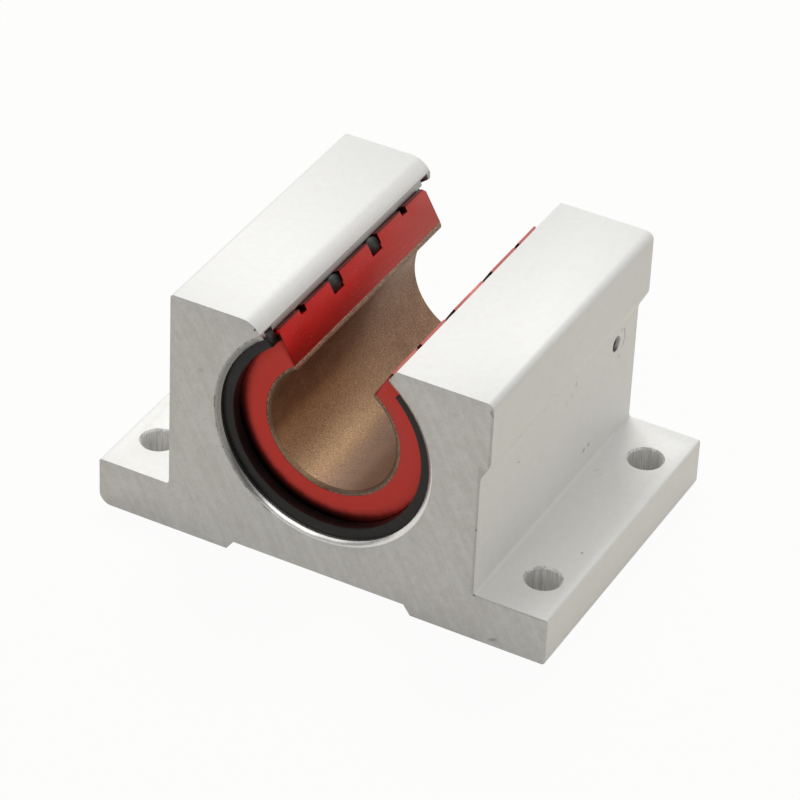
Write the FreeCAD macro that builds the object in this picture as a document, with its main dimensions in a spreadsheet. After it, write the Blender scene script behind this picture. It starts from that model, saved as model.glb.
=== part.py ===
import FreeCAD, Part

import os

import Sketcher

# Open linear bearing block for a 3/4 inch (19.05 mm) supported shaft.
#
# One extruded housing with two jaws carries a split plain bearing: a metal
# shell with a bonded liner, which floats on two seal rings and is held along
# the shaft by a retaining ring near each end.  A small set screw in the side
# wall stops the bearing from turning.
#
# Millimetres.  The shaft runs along Y, X is across the block and Z is up.
# The origin is the middle of the mounting face.

DRIVING_SIZES = [
    # name, value, what it is
    ("body_length", 47.75, "along the shaft"),
    ("body_height", 39.1, "mounting face to the top of the jaws"),
    ("body_width", 47.4, "between the plain side walls"),
    ("flange_thickness", 7.5, "mounting face to the top of a flange"),
    ("flange_edge_radius", 0.4, "outer top edges of the flanges"),
    ("plain_foot_radius", 1.9, "outer bottom edge, plain side"),
    ("banded_foot_radius", 0.6, "outer bottom edge, banded side"),
    ("wall_root_radius", 0.5, "between a flange and its side wall"),
    ("centre_height", 23.8, "mounting face to the shaft centre"),
    ("channel_width", 26.6, "relief under the base, at its roof"),
    ("channel_depth", 1.5, "relief under the base"),
    ("channel_flare", 1.1, "each side of the relief leans out by this"),
    ("jaw_gap", 18.8, "between the lips of the jaws"),
    ("nose_radius", 3.4, "rounded lip of the plain jaw"),
    ("plain_jaw_radius", 0.6, "outer top edge of the plain jaw"),
    ("lip_bevel_width", 1.3, "bevelled lip of the banded jaw, across"),
    ("lip_bevel_height", 2.0, "bevelled lip of the banded jaw, down"),
    ("banded_jaw_radius", 1.2, "outer top edge of the banded jaw"),
    ("band_depth", 1.4, "band along one jaw, proud of its side wall"),
    ("band_foot", 26.6, "height at which the band begins"),
    ("band_rise", 2.8, "height in which it reaches its full depth"),
    ("band_bend_radius", 2.0, "both bends of the band"),
    ("hole_spacing_across", 60.33, "fixing holes, X"),
    ("hole_spacing_along", 31.75, "fixing holes, Y"),
    ("hole_edge_across", 4.76, "fixing hole centres to the base's side edges"),
    ("hole_diameter", 4.9, "fixing holes"),
    ("hole_break", 0.3, "broken upper edge of the fixing holes"),
    ("bearing_diameter", 31.75, "outside of the bearing shell"),
    ("bearing_clearance", 0.06, "shell to housing bore, on the radius"),
    ("bore_bevel_radial", 0.7, "lead-in of the housing bore"),
    ("bore_bevel_axial", 0.45, "lead-in of the housing bore"),
    ("ring_groove_inset", 1.0, "end face to the retaining ring groove"),
    ("ring_groove_width", 1.9, "along the shaft"),
    ("ring_groove_depth", 0.8, "below the housing bore"),
    ("ring_clearance", 0.05, "retaining ring in its groove"),
    ("ring_height", 2.35, "retaining ring, on the radius"),
    ("ring_gap_angle", 81.0, "between the ends of a retaining ring"),
    ("front_ring_turn", 4.0, "middle of its gap, from upright towards +X"),
    ("rear_ring_turn", -4.5, "middle of its gap, from upright towards +X"),
    ("ring_edge_bevel", 0.3, "inner edges of the retaining ring"),
    ("bearing_end_play", 0.65, "bearing between the two ring grooves"),
    ("bearing_shift", 0.3, "the bearing lies this far to the front"),
    ("shaft_diameter", 19.05, "bore of the liner"),
    ("liner_thickness", 0.74, "on the radius"),
    ("liner_bevel", 0.3, "mouths of the liner"),
    ("slot_width", 11.35, "opening of the bearing, at the liner bore"),
    ("slot_angle", 60.0, "between the walls of the opening, degrees"),
    ("shell_bevel", 0.7, "outer end edges of the shell"),
    ("clip_groove_spacing", 28.4, "narrow grooves of the shell, centres"),
    ("clip_groove_width", 1.5, "narrow grooves of the shell"),
    ("clip_groove_depth", 0.95, "narrow grooves of the shell"),
    ("seal_groove_spacing", 10.8, "wide grooves of the shell, centres"),
    ("seal_groove_width", 2.9, "wide grooves of the shell"),
    ("seal_groove_depth", 2.25, "wide grooves of the shell"),
    ("seal_width", 2.6, "pressed seal ring, along the shaft"),
    ("seal_bevel", 0.6, "long edges of the pressed seal ring"),
    ("seal_seat", 0.01, "seal ring to groove floor and to bore"),
    ("seal_end_recess", 0.25, "seal ring ends, back from the opening"),
    ("screw_diameter", 2.2, "set screw"),
    ("screw_clearance", 0.05, "set screw in its hole, on the radius"),
    ("screw_inset", 6.5, "rear end face to the set screw"),
    ("screw_recess", 0.6, "set screw below the side wall"),
    ("screw_socket", 0.9, "set screw hexagon, across flats"),
    ("screw_socket_depth", 1.2, "set screw hexagon"),
    ("screw_point_bevel", 0.4, "point of the set screw"),
    ("screw_hole_break", 0.12, "broken edge of the set screw hole"),
    ("screw_seat_depth", 0.9, "seat of the set screw in the shell"),
    ("screw_end_gap", 0.1, "set screw point to the floor of its seat"),
]

# Sizes that several pieces share, each worked out from the driving ones.
BORE_RADIUS = "(sizes.bearing_diameter / 2 + sizes.bearing_clearance)"
SHELL_RADIUS = "(sizes.bearing_diameter / 2)"
SHAFT_RADIUS = "(sizes.shaft_diameter / 2)"
LINER_RADIUS = "(sizes.shaft_diameter / 2 + sizes.liner_thickness)"
RING_GROOVE_RADIUS = f"({BORE_RADIUS} + sizes.ring_groove_depth)"
BASE_WIDTH = "(sizes.hole_spacing_across + 2 * sizes.hole_edge_across)"
HALF_LENGTH = "(sizes.body_length / 2)"
HALF_BEARING = (f"({HALF_LENGTH} - sizes.ring_groove_inset"
                f" - sizes.ring_groove_width - sizes.bearing_end_play / 2)")
SCREW_Y = "(sizes.body_length / 2 - sizes.screw_inset)"
SCREW_SEAT_X = f"({SHELL_RADIUS} - sizes.screw_seat_depth)"

doc = FreeCAD.newDocument("linear_bearing_block")


def make_sheet():
    """Write the driving sizes into a spreadsheet, one aliased cell each."""
    sheet = doc.addObject("Spreadsheet::Sheet", "sizes")
    for row, (name, value, note) in enumerate(DRIVING_SIZES, start=1):
        sheet.set(f"A{row}", name)
        sheet.set(f"B{row}", str(value))
        sheet.setAlias(f"B{row}", name)
        sheet.set(f"C{row}", note)
    doc.recompute()
    return sheet


sizes = make_sheet()


def value_of(expression):
    """The value of an expression in the sheet's names, in millimetres."""
    return float(sizes.evalExpression(expression))


# ------------------------------------------------------------- sketching

def new_body(label, across="0", along="0", up="0", rotation=None):
    """A body named after its piece, standing where three expressions say."""
    body = doc.addObject("PartDesign::Body", label)
    body.Label = label
    place = FreeCAD.Vector(value_of(across), value_of(along), value_of(up))
    body.Placement = FreeCAD.Placement(place, rotation or FreeCAD.Rotation())
    for axis, expression in zip("xyz", (across, along, up)):
        if expression != "0":
            body.setExpression(f"Placement.Base.{axis}", expression)
    return body


def origin_feature(body, role):
    """One of the body's own origin planes or axes."""
    for feature in body.Origin.OriginFeatures:
        if feature.Role == role:
            return feature
    raise ValueError(role)


def new_sketch(body, name, plane, offset="0"):
    """An empty sketch on one of the body's planes, or parallel to it."""
    sketch = body.newObject("Sketcher::SketchObject", name)
    sketch.AttachmentSupport = (origin_feature(body, plane), [""])
    sketch.MapMode = "FlatFace"
    if offset != "0":
        sketch.setExpression("AttachmentOffset.Base.z", offset)
    return sketch


def hold(sketch, geometry, end, axis, expression):
    """Hold one coordinate of a point at the value of an expression."""
    if expression == "0":
        axis_line = (-2, -1)[axis]
        sketch.addConstraint(Sketcher.Constraint(
            "PointOnObject", geometry, end, axis_line))
        return
    kind = ("DistanceX", "DistanceY")[axis]
    number = sketch.addConstraint(Sketcher.Constraint(
        kind, -1, 1, geometry, end, value_of(expression)))
    sketch.setExpression(f"Constraints[{number}]", expression)


def outline(sketch, corners):
    """Draw a closed polygon and dimension each free coordinate once.

    Each corner is a pair of expressions, across and up in the sketch.  A
    side whose two corners share an expression is held level or upright.
    """
    count = len(corners)
    points = [FreeCAD.Vector(value_of(across), value_of(up), 0)
              for across, up in corners]
    lines = []
    for index in range(count):
        ends = (points[index], points[(index + 1) % count])
        lines.append(sketch.addGeometry(Part.LineSegment(*ends), False))
    for index in range(count):
        sketch.addConstraint(Sketcher.Constraint(
            "Coincident", lines[index], 2, lines[(index + 1) % count], 1))
    for axis, kind in ((0, "Vertical"), (1, "Horizontal")):
        for index in range(count):
            here = corners[index][axis]
            if here == corners[(index + 1) % count][axis]:
                sketch.addConstraint(Sketcher.Constraint(kind, lines[index]))
            if here != corners[index - 1][axis]:
                hold(sketch, lines[index], 1, axis, here)


def circle(sketch, across, up, radius):
    """Draw a circle whose centre and radius follow expressions."""
    centre = FreeCAD.Vector(value_of(across), value_of(up), 0)
    upright = FreeCAD.Vector(0, 0, 1)
    shape = Part.Circle(centre, upright, value_of(radius))
    number = sketch.addGeometry(shape, False)
    hold(sketch, number, 3, 0, across)
    hold(sketch, number, 3, 1, up)
    size = sketch.addConstraint(Sketcher.Constraint(
        "Radius", number, value_of(radius)))
    sketch.setExpression(f"Constraints[{size}]", radius)


def box_corners(left, right, low, high):
    """The four corners of a rectangle, for outline."""
    return [(left, low), (right, low), (right, high), (left, high)]


# -------------------------------------------------------------- features

def pad(body, name, sketch, length, midplane=True):
    """Extrude a sketch by an expression."""
    feature = body.newObject("PartDesign::Pad", name)
    feature.Profile = sketch
    feature.Midplane = midplane
    feature.setExpression("Length", length)
    doc.recompute()
    return feature


def cut(body, name, sketch, depth=None, midplane=False, reverse=False):
    """Cut a sketch out of the body, through everything or to a depth."""
    before = body.Shape.Volume
    feature = body.newObject("PartDesign::Pocket", name)
    feature.Profile = sketch
    feature.Midplane = midplane
    feature.Reversed = reverse
    if depth is None:
        feature.Type = "ThroughAll"
    else:
        feature.setExpression("Length", depth)
    doc.recompute()
    if not body.Shape.Volume < before:
        raise RuntimeError(f"{name} removes nothing")
    return feature


def turn(body, name, sketch):
    """Revolve a sketch about the body's Y axis."""
    feature = body.newObject("PartDesign::Revolution", name)
    feature.Profile = sketch
    feature.ReferenceAxis = (sketch, ["H_Axis"])
    feature.Angle = 360
    doc.recompute()
    return feature


def turn_out(body, name, sketch):
    """Cut a sketch out of the body all round the sketch's level axis."""
    before = body.Shape.Volume
    feature = body.newObject("PartDesign::Groove", name)
    feature.Profile = sketch
    feature.ReferenceAxis = (sketch, ["H_Axis"])
    feature.Angle = 360
    doc.recompute()
    if not body.Shape.Volume < before:
        raise RuntimeError(f"{name} removes nothing")
    return feature


def mirror(body, name, features):
    """Repeat features on the other side of the body's middle plane."""
    feature = body.newObject("PartDesign::Mirrored", name)
    feature.Originals = features
    feature.MirrorPlane = (origin_feature(body, "XZ_Plane"), [""])
    body.Tip = feature
    doc.recompute()
    return feature


def edges_where(body, test):
    """Names of the present edges that pass a test in the body's own frame."""
    found = [f"Edge{number}"
             for number, edge in enumerate(body.Tip.Shape.Edges, start=1)
             if test(edge)]
    if not found:
        raise RuntimeError(f"{body.Label}: no edge to work on")
    return found


def runs_along(across, up):
    """Test for a long straight edge that runs along Y at a place in XZ."""
    x, z = value_of(across), value_of(up)

    def test(edge):
        ends = [vertex.Point for vertex in edge.Vertexes]
        return len(ends) == 2 and all(
            abs(end.x - x) < 1e-4 and abs(end.z - z) < 1e-4 for end in ends)
    return test


def ring_edge(radius, along=None, up=None):
    """Test for a round edge of one radius, at a place on Y or on Z."""
    def test(edge):
        curve = edge.Curve
        if curve.TypeId != "Part::GeomCircle":
            return False
        if abs(curve.Radius - value_of(radius)) > 1e-4:
            return False
        spots = ((along, curve.Center.y), (up, curve.Center.z))
        return all(abs(value_of(wanted) - found) < 1e-4
                   for wanted, found in spots if wanted is not None)
    return test


def fillet(body, name, test, radius):
    """Round the edges that pass a test."""
    found = edges_where(body, test)
    base = body.Tip
    feature = body.newObject("PartDesign::Fillet", name)
    feature.Base = (base, found)
    feature.setExpression("Radius", radius)
    doc.recompute()
    return feature


def chamfer(body, name, test, size):
    """Bevel the edges that pass a test."""
    found = edges_where(body, test)
    base = body.Tip
    feature = body.newObject("PartDesign::Chamfer", name)
    feature.Base = (base, found)
    feature.setExpression("Size", size)
    doc.recompute()
    return feature


# --------------------------------------------------------------- housing

def make_housing():
    """The extruded block: flanges, two jaws, bore, grooves and holes."""
    body = new_body("housing")
    half_base = f"{BASE_WIDTH} / 2"
    half_body = "sizes.body_width / 2"
    half_gap = "sizes.jaw_gap / 2"
    half_roof = "sizes.channel_width / 2"
    half_mouth = "sizes.channel_width / 2 + sizes.channel_flare"
    band = "sizes.body_width / 2 + sizes.band_depth"
    band_foot = "sizes.band_foot"
    band_full = "sizes.band_foot + sizes.band_rise"
    top = "sizes.body_height"
    flange = "sizes.flange_thickness"

    # The section of the extrusion, looking along +Y, from its bottom left
    # corner.  The jaw slot ends inside the bore.
    section = new_sketch(body, "extrusion_section", "XZ_Plane")
    outline(section, [
        (f"-({half_base})", "0"),
        (f"-({half_mouth})", "0"),
        (f"-({half_roof})", "sizes.channel_depth"),
        (half_roof, "sizes.channel_depth"),
        (half_mouth, "0"),
        (half_base, "0"),
        (half_base, flange),
        (half_body, flange),
        (half_body, band_foot),
        (band, band_full),
        (band, top),
        (f"{half_gap} + sizes.lip_bevel_width", top),
        (half_gap, "sizes.body_height - sizes.lip_bevel_height"),
        (half_gap, "sizes.centre_height"),
        (f"-({half_gap})", "sizes.centre_height"),
        (f"-({half_gap})", top),
        (f"-({half_body})", top),
        (f"-({half_body})", flange),
        (f"-({half_base})", flange),
    ])
    pad(body, "extrusion", section, "sizes.body_length")

    # The extrusion's rounded edges.  Only the lip of the plain jaw has a
    # large one; the banded jaw has a bevelled lip.
    rounded = [
        ("nose", f"-({half_gap})", top, "sizes.nose_radius"),
        ("plain_jaw", f"-({half_body})", top, "sizes.plain_jaw_radius"),
        ("banded_jaw", band, top, "sizes.banded_jaw_radius"),
        ("band_top", band, band_full, "sizes.band_bend_radius"),
        ("band_foot", half_body, band_foot, "sizes.band_bend_radius"),
        ("plain_root", f"-({half_body})", flange, "sizes.wall_root_radius"),
        ("banded_root", half_body, flange, "sizes.wall_root_radius"),
        ("plain_flange", f"-({half_base})", flange, "sizes.flange_edge_radius"),
        ("banded_flange", half_base, flange, "sizes.flange_edge_radius"),
        ("plain_foot", f"-({half_base})", "0", "sizes.plain_foot_radius"),
        ("banded_foot", half_base, "0", "sizes.banded_foot_radius"),
    ]
    for name, across, up, radius in rounded:
        fillet(body, f"{name}_round", runs_along(across, up), radius)

    # The bore, then its lead-in and the retaining ring groove at one end,
    # turned about the bore's own axis and mirrored to the other end.
    bore = new_sketch(body, "bore_circle", "XZ_Plane")
    circle(bore, "0", "sizes.centre_height", BORE_RADIUS)
    cut(body, "bore", bore, midplane=True)
    end = f"-{HALF_LENGTH}"
    bevel_end = f"{end} + sizes.bore_bevel_axial"
    groove_near = f"{end} + sizes.ring_groove_inset"
    groove_far = f"{groove_near} + sizes.ring_groove_width"
    lead_in = new_sketch(body, "bore_mouth_section", "YZ_Plane")
    lead_in.setExpression("AttachmentOffset.Base.y", "sizes.centre_height")
    outline(lead_in, [
        (end, "0"),
        (bevel_end, "0"),
        (bevel_end, BORE_RADIUS),
        (end, f"{BORE_RADIUS} + sizes.bore_bevel_radial"),
    ])
    mouth = turn_out(body, "bore_mouth", lead_in)
    channel = new_sketch(body, "ring_groove_section", "YZ_Plane")
    channel.setExpression("AttachmentOffset.Base.y", "sizes.centre_height")
    outline(channel, box_corners(
        groove_near, groove_far, "0", RING_GROOVE_RADIUS))
    groove = turn_out(body, "ring_groove", channel)
    mirror(body, "rear_mouth_and_groove", [mouth, groove])

    # Four fixing holes through the flanges.
    holes = new_sketch(body, "fixing_hole_circles", "XY_Plane")
    hole_x = "sizes.hole_spacing_across / 2"
    hole_y = "sizes.hole_spacing_along / 2"
    for across in (hole_x, f"-({hole_x})"):
        for along in (hole_y, f"-({hole_y})"):
            circle(holes, across, along, "sizes.hole_diameter / 2")
    cut(body, "fixing_holes", holes, reverse=True)
    chamfer(body, "fixing_hole_breaks",
            ring_edge("sizes.hole_diameter / 2", up=flange),
            "sizes.hole_break")

    # The set screw's hole runs in from the side wall to the bore.
    hole = new_sketch(body, "screw_hole_circle", "YZ_Plane")
    circle(hole, SCREW_Y, "sizes.centre_height",
           "sizes.screw_diameter / 2 + sizes.screw_clearance")
    cut(body, "screw_hole", hole, reverse=True)
    chamfer(body, "screw_hole_break", screw_hole_rim, "sizes.screw_hole_break")
    return body


def screw_hole_rim(edge):
    """Whether an edge is the set screw hole's rim in the side wall."""
    curve = edge.Curve
    return (curve.TypeId == "Part::GeomCircle"
            and abs(abs(curve.Axis.x) - 1) < 1e-6
            and abs(curve.Center.x - value_of("sizes.body_width / 2")) < 1e-4)


# --------------------------------------------------------------- bearing

def cut_opening(body, recess="0"):
    """Cut the bearing's opening, a V with its mouth upwards.

    The walls pass through the liner bore where the opening has its named
    width.  A recess moves both walls out by that much.
    """
    sketch = new_sketch(body, "opening_section", "XZ_Plane")
    slope = "tan(sizes.slot_angle / 2 * 1 deg)"
    lip = f"sqrt(pow({SHAFT_RADIUS}; 2) - pow(sizes.slot_width / 2; 2))"
    half = "sizes.slot_width / 2"
    foot = f"{half} - {slope} * {lip} + {recess}"
    high = f"{SHELL_RADIUS} + 2"
    mouth = f"{half} + {slope} * ({high} - {lip}) + {recess}"
    outline(sketch, [
        (f"-({foot})", "0"),
        (foot, "0"),
        (mouth, high),
        (f"-({mouth})", high),
    ])
    return cut(body, "opening", sketch, midplane=True)


def on_bearing(label):
    """A body on the shaft's centre line, in the middle of the bearing."""
    return new_body(label, along="-sizes.bearing_shift",
                    up="sizes.centre_height")


def make_shell():
    """The bearing's metal shell: a turned sleeve, grooved and then slit."""
    body = on_bearing("bearing_shell")
    section = new_sketch(body, "sleeve_section", "YZ_Plane")
    bevel_start = f"{HALF_BEARING} - sizes.shell_bevel"
    shoulder = f"{SHELL_RADIUS} - sizes.shell_bevel"
    outline(section, [
        (f"-{HALF_BEARING}", LINER_RADIUS),
        (HALF_BEARING, LINER_RADIUS),
        (HALF_BEARING, shoulder),
        (bevel_start, SHELL_RADIUS),
        (f"-({bevel_start})", SHELL_RADIUS),
        (f"-{HALF_BEARING}", shoulder),
    ])
    turn(body, "sleeve", section)

    # Front narrow groove for a clip and front wide groove for a seal ring.
    grooves = []
    for kind in ("clip", "seal"):
        middle = f"-sizes.{kind}_groove_spacing / 2"
        half_width = f"sizes.{kind}_groove_width / 2"
        profile = new_sketch(body, f"{kind}_groove_section", "YZ_Plane")
        outline(profile, box_corners(
            f"{middle} - {half_width}", f"{middle} + {half_width}",
            f"{SHELL_RADIUS} - sizes.{kind}_groove_depth",
            f"{SHELL_RADIUS} + 1"))
        grooves.append(turn_out(body, f"{kind}_groove", profile))
    mirror(body, "rear_grooves", grooves)
    cut_opening(body)

    # The flat-bottomed seat that the set screw's point enters.
    seat = new_sketch(body, "screw_seat_circle", "YZ_Plane", SCREW_SEAT_X)
    circle(seat, f"{SCREW_Y} + sizes.bearing_shift", "0",
           "sizes.screw_diameter / 2 + sizes.screw_clearance")
    cut(body, "screw_seat", seat, reverse=True)
    return body


def make_liner():
    """The bonded liner, with a broken edge at both mouths."""
    body = on_bearing("bearing_liner")
    section = new_sketch(body, "liner_section", "YZ_Plane")
    bevel_start = f"{HALF_BEARING} - sizes.liner_bevel"
    mouth = f"{SHAFT_RADIUS} + sizes.liner_bevel"
    outline(section, [
        (f"-({bevel_start})", SHAFT_RADIUS),
        (bevel_start, SHAFT_RADIUS),
        (HALF_BEARING, mouth),
        (HALF_BEARING, LINER_RADIUS),
        (f"-{HALF_BEARING}", LINER_RADIUS),
        (f"-{HALF_BEARING}", mouth),
    ])
    turn(body, "liner", section)
    cut_opening(body)
    return body


def make_seal_ring(label, side):
    """A seal ring, pressed flat between its groove's floor and the bore.

    Its sides are bevelled as far as they bulge.  The ring is cut through at
    the bearing's opening, so its ends show there.
    """
    body = new_body(
        label,
        along=f"{side} * sizes.seal_groove_spacing / 2 - sizes.bearing_shift",
        up="sizes.centre_height")
    low = f"({SHELL_RADIUS} - sizes.seal_groove_depth + sizes.seal_seat)"
    high = f"({BORE_RADIUS} - sizes.seal_seat)"
    side_wall = "sizes.seal_width / 2"
    flat = f"({side_wall} - sizes.seal_bevel)"
    section = new_sketch(body, "seal_section", "YZ_Plane")
    outline(section, [
        (f"-{flat}", low), (flat, low),
        (side_wall, f"{low} + sizes.seal_bevel"),
        (side_wall, f"{high} - sizes.seal_bevel"),
        (flat, high), (f"-{flat}", high),
        (f"-{side_wall}", f"{high} - sizes.seal_bevel"),
        (f"-{side_wall}", f"{low} + sizes.seal_bevel")])
    turn(body, "seal", section)
    cut_opening(body, "sizes.seal_end_recess")
    return body


def make_retaining_ring(label, side, turn_size):
    """A rectangular spring ring in the housing's groove, open at the top.

    It can turn in its groove, so each ring's gap has its own direction.
    """
    middle = (f"{HALF_LENGTH} - sizes.ring_groove_inset"
              f" - sizes.ring_groove_width / 2")
    body = new_body(label, along=f"{side} * ({middle})",
                    up="sizes.centre_height")
    half_thick = "sizes.ring_groove_width / 2 - sizes.ring_clearance"
    outer = f"{RING_GROOVE_RADIUS} - sizes.ring_clearance"
    inner = f"{outer} - sizes.ring_height"
    section = new_sketch(body, "ring_section", "YZ_Plane")
    outline(section, box_corners(
        f"-({half_thick})", half_thick, inner, outer))
    turn(body, "ring", section)
    chamfer(body, "ring_mouths", ring_edge(inner), "sizes.ring_edge_bevel")

    # Both ends are cut square, so the gap is a V from the shaft's centre.
    # It is drawn far enough out for its far side to clear the ring.
    gap = new_sketch(body, "ring_gap_section", "XZ_Plane")
    half_gap = "sizes.ring_gap_angle / 2"
    reach = f"({RING_GROOVE_RADIUS} + 1) / cos({half_gap} * 1 deg)"
    right = f"(sizes.{turn_size} + {half_gap}) * 1 deg"
    left = f"(sizes.{turn_size} - {half_gap}) * 1 deg"
    outline(gap, [
        ("0", "0"),
        (f"{reach} * sin({right})", f"{reach} * cos({right})"),
        (f"{reach} * sin({left})", f"{reach} * cos({left})")])
    cut(body, "ring_gap", gap, midplane=True)
    return body


# ------------------------------------------------------------- set screw

def make_set_screw():
    """A headless hexagon socket screw, modelled without its fine thread.

    It is built upright, with its socket at the top, and then laid down so
    that the socket faces out of the banded side.
    """
    outer_end = "sizes.body_width / 2 - sizes.screw_recess"
    length = f"{outer_end} - {SCREW_SEAT_X} - sizes.screw_end_gap"
    body = new_body("set_screw", across=outer_end, along=SCREW_Y,
                    up="sizes.centre_height",
                    rotation=FreeCAD.Rotation(FreeCAD.Vector(0, 1, 0), 90))
    section = new_sketch(body, "screw_circle", "XY_Plane")
    circle(section, "0", "0", "sizes.screw_diameter / 2")
    shank = pad(body, "shank", section, length, midplane=False)
    shank.Reversed = True
    doc.recompute()
    chamfer(body, "point", ring_edge("sizes.screw_diameter / 2",
                                     up=f"-({length})"),
            "sizes.screw_point_bevel")

    # A regular hexagon: its corners lie on a circle about the axis.
    socket = new_sketch(body, "socket_hexagon", "XY_Plane")
    flat = "sizes.screw_socket / 2"
    corner = "sizes.screw_socket / sqrt(3)"
    outline(socket, [
        (corner, "0"),
        (f"{corner} / 2", flat),
        (f"-({corner} / 2)", flat),
        (f"-({corner})", "0"),
        (f"-({corner} / 2)", f"-({flat})"),
        (f"{corner} / 2", f"-({flat})"),
    ])
    cut(body, "socket", socket, "sizes.screw_socket_depth")
    return body


# ------------------------------------------------------------ the pieces

pieces = [
    make_housing(),
    make_shell(),
    make_liner(),
    make_seal_ring("front_seal_ring", "-1"),
    make_seal_ring("rear_seal_ring", "1"),
    make_retaining_ring("front_retaining_ring", "-1", "front_ring_turn"),
    make_retaining_ring("rear_retaining_ring", "1", "rear_ring_turn"),
    make_set_screw(),
]
doc.recompute()

for item in doc.Objects:
    if "Invalid" in item.State or "Error" in item.State:
        raise RuntimeError(f"{item.Name} failed: {item.State}")
for piece in pieces:
    if piece.Shape.isNull() or not piece.Shape.isValid():
        raise RuntimeError(f"{piece.Label} has no sound shape")
    if len(piece.Shape.Solids) != 1:
        raise RuntimeError(f"{piece.Label} is not one solid")

os.makedirs("parts", exist_ok=True)
for piece in pieces:
    piece.Shape.exportStep(f"parts/{piece.Label}.step")
    box = piece.Shape.BoundBox
    print(f"{piece.Label}: {piece.Shape.Volume:.1f} mm3,"
          f" X {box.XMin:.2f} to {box.XMax:.2f},"
          f" Y {box.YMin:.2f} to {box.YMax:.2f},"
          f" Z {box.ZMin:.2f} to {box.ZMax:.2f}")
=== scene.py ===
"""Looks of an open linear bearing block, in metres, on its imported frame.

The shaft runs along Y, X is across the block and Z is up.  The origin is
the middle of the mounting face.
"""
import logging
import math
from dataclasses import dataclass, field
from enum import Enum
from functools import reduce

import bpy
import numpy as np
from mathutils import Matrix, Vector


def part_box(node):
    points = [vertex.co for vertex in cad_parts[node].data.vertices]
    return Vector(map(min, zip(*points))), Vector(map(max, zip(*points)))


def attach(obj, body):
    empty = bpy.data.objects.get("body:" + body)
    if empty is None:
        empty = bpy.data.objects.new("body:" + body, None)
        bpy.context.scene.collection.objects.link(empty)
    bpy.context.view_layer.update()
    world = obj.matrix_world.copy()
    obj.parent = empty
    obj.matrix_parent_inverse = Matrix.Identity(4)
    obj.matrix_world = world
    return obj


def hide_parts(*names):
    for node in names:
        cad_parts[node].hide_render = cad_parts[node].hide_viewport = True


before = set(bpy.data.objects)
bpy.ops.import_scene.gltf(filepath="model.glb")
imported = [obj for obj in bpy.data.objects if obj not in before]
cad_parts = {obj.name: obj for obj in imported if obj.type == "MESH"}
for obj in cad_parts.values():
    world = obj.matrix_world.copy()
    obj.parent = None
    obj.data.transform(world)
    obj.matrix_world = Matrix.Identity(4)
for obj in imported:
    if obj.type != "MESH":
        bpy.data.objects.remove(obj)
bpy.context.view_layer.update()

MM = 0.001
BODY = "root"
LOG = logging.getLogger("bearing_block")

Colour = tuple[float, float, float, float]
Step = tuple[float, float]
Span = tuple[float, float, float, float]

WHITE: Colour = (1.0, 1.0, 1.0, 1.0)


def linear(code: str) -> Colour:
    """Turn a display colour into the linear one that the shaders take.

    Args:
        code: six hexadecimal digits, red first.

    Returns:
        The linear red, green and blue, and an alpha of one.
    """
    def channel(pair: str) -> float:
        """One channel: a line near black, and a power curve above it."""
        share = int(pair, 16) / 255
        return share / 12.92 if share <= 0.04045 else ((share + 0.055) / 1.055) ** 2.4
    return (channel(code[0:2]), channel(code[2:4]), channel(code[4:6]), 1.0)


# ------------------------------------------------------------ shader maths

class Term:
    """A number in a shader, on which Python's operators add Math nodes."""

    def __init__(self, graph: "Graph", socket: bpy.types.NodeSocket) -> None:
        """Keep an output socket and the graph that it belongs to.

        Args:
            graph: where further nodes are added.
            socket: the output that gives the number.
        """
        self.graph = graph
        self.socket = socket

    def math(self, operation: str, *values: "Term | float") -> "Term":
        """Add one Math node.

        Args:
            operation: the Math node's operation.
            values: its inputs, in order.

        Returns:
            The node's result.
        """
        made = self.graph.node("ShaderNodeMath", {"operation": operation},
                               dict(enumerate(values)))
        return Term(self.graph, made.outputs[0])

    def __add__(self, other: "Term | float") -> "Term":
        """Sum."""
        return self.math("ADD", self, other)

    __radd__ = __add__

    def __sub__(self, other: "Term | float") -> "Term":
        """Difference."""
        return self.math("SUBTRACT", self, other)

    def __rsub__(self, other: "Term | float") -> "Term":
        """Difference, the other way round."""
        return self.math("SUBTRACT", other, self)

    def __mul__(self, other: "Term | float") -> "Term":
        """Product."""
        return self.math("MULTIPLY", self, other)

    __rmul__ = __mul__

    def __truediv__(self, other: "Term | float") -> "Term":
        """Quotient."""
        return self.math("DIVIDE", self, other)

    def __rtruediv__(self, other: "Term | float") -> "Term":
        """Quotient, the other way round."""
        return self.math("DIVIDE", other, self)

    def __abs__(self) -> "Term":
        """Size without its sign."""
        return self.math("ABSOLUTE", self)

    def __neg__(self) -> "Term":
        """The same size with the other sign."""
        return self.math("MULTIPLY", self, -1.0)

    def most(self, other: "Term | float") -> "Term":
        """The larger of two numbers."""
        return self.math("MAXIMUM", self, other)

    def root(self) -> "Term":
        """Square root."""
        return self.math("SQRT", self)

    def ramp(self, low: float, high: float) -> "Term":
        """A smooth step: 0 up to low, 1 from high on, or the reverse.

        Args:
            low: where the step leaves 0.
            high: where it reaches 1; below low, the step falls.

        Returns:
            The step, between 0 and 1.
        """
        start, end = (low, high) if low < high else (high, low)
        made = self.graph.node(
            "ShaderNodeMapRange", {"interpolation_type": "SMOOTHSTEP"},
            {"Value": self, "From Min": start, "From Max": end})
        step = Term(self.graph, made.outputs[0])
        return step if low < high else 1 - step

    def band(self, start: float, full: float, fade: float, end: float) -> "Term":
        """A rising smooth step times a falling one.

        Args:
            start: where the band leaves 0.
            full: where it reaches 1.
            fade: where it leaves 1.
            end: where it is back at 0.

        Returns:
            The band, between 0 and 1.
        """
        return self.ramp(start, full) * self.ramp(end, fade)


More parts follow.
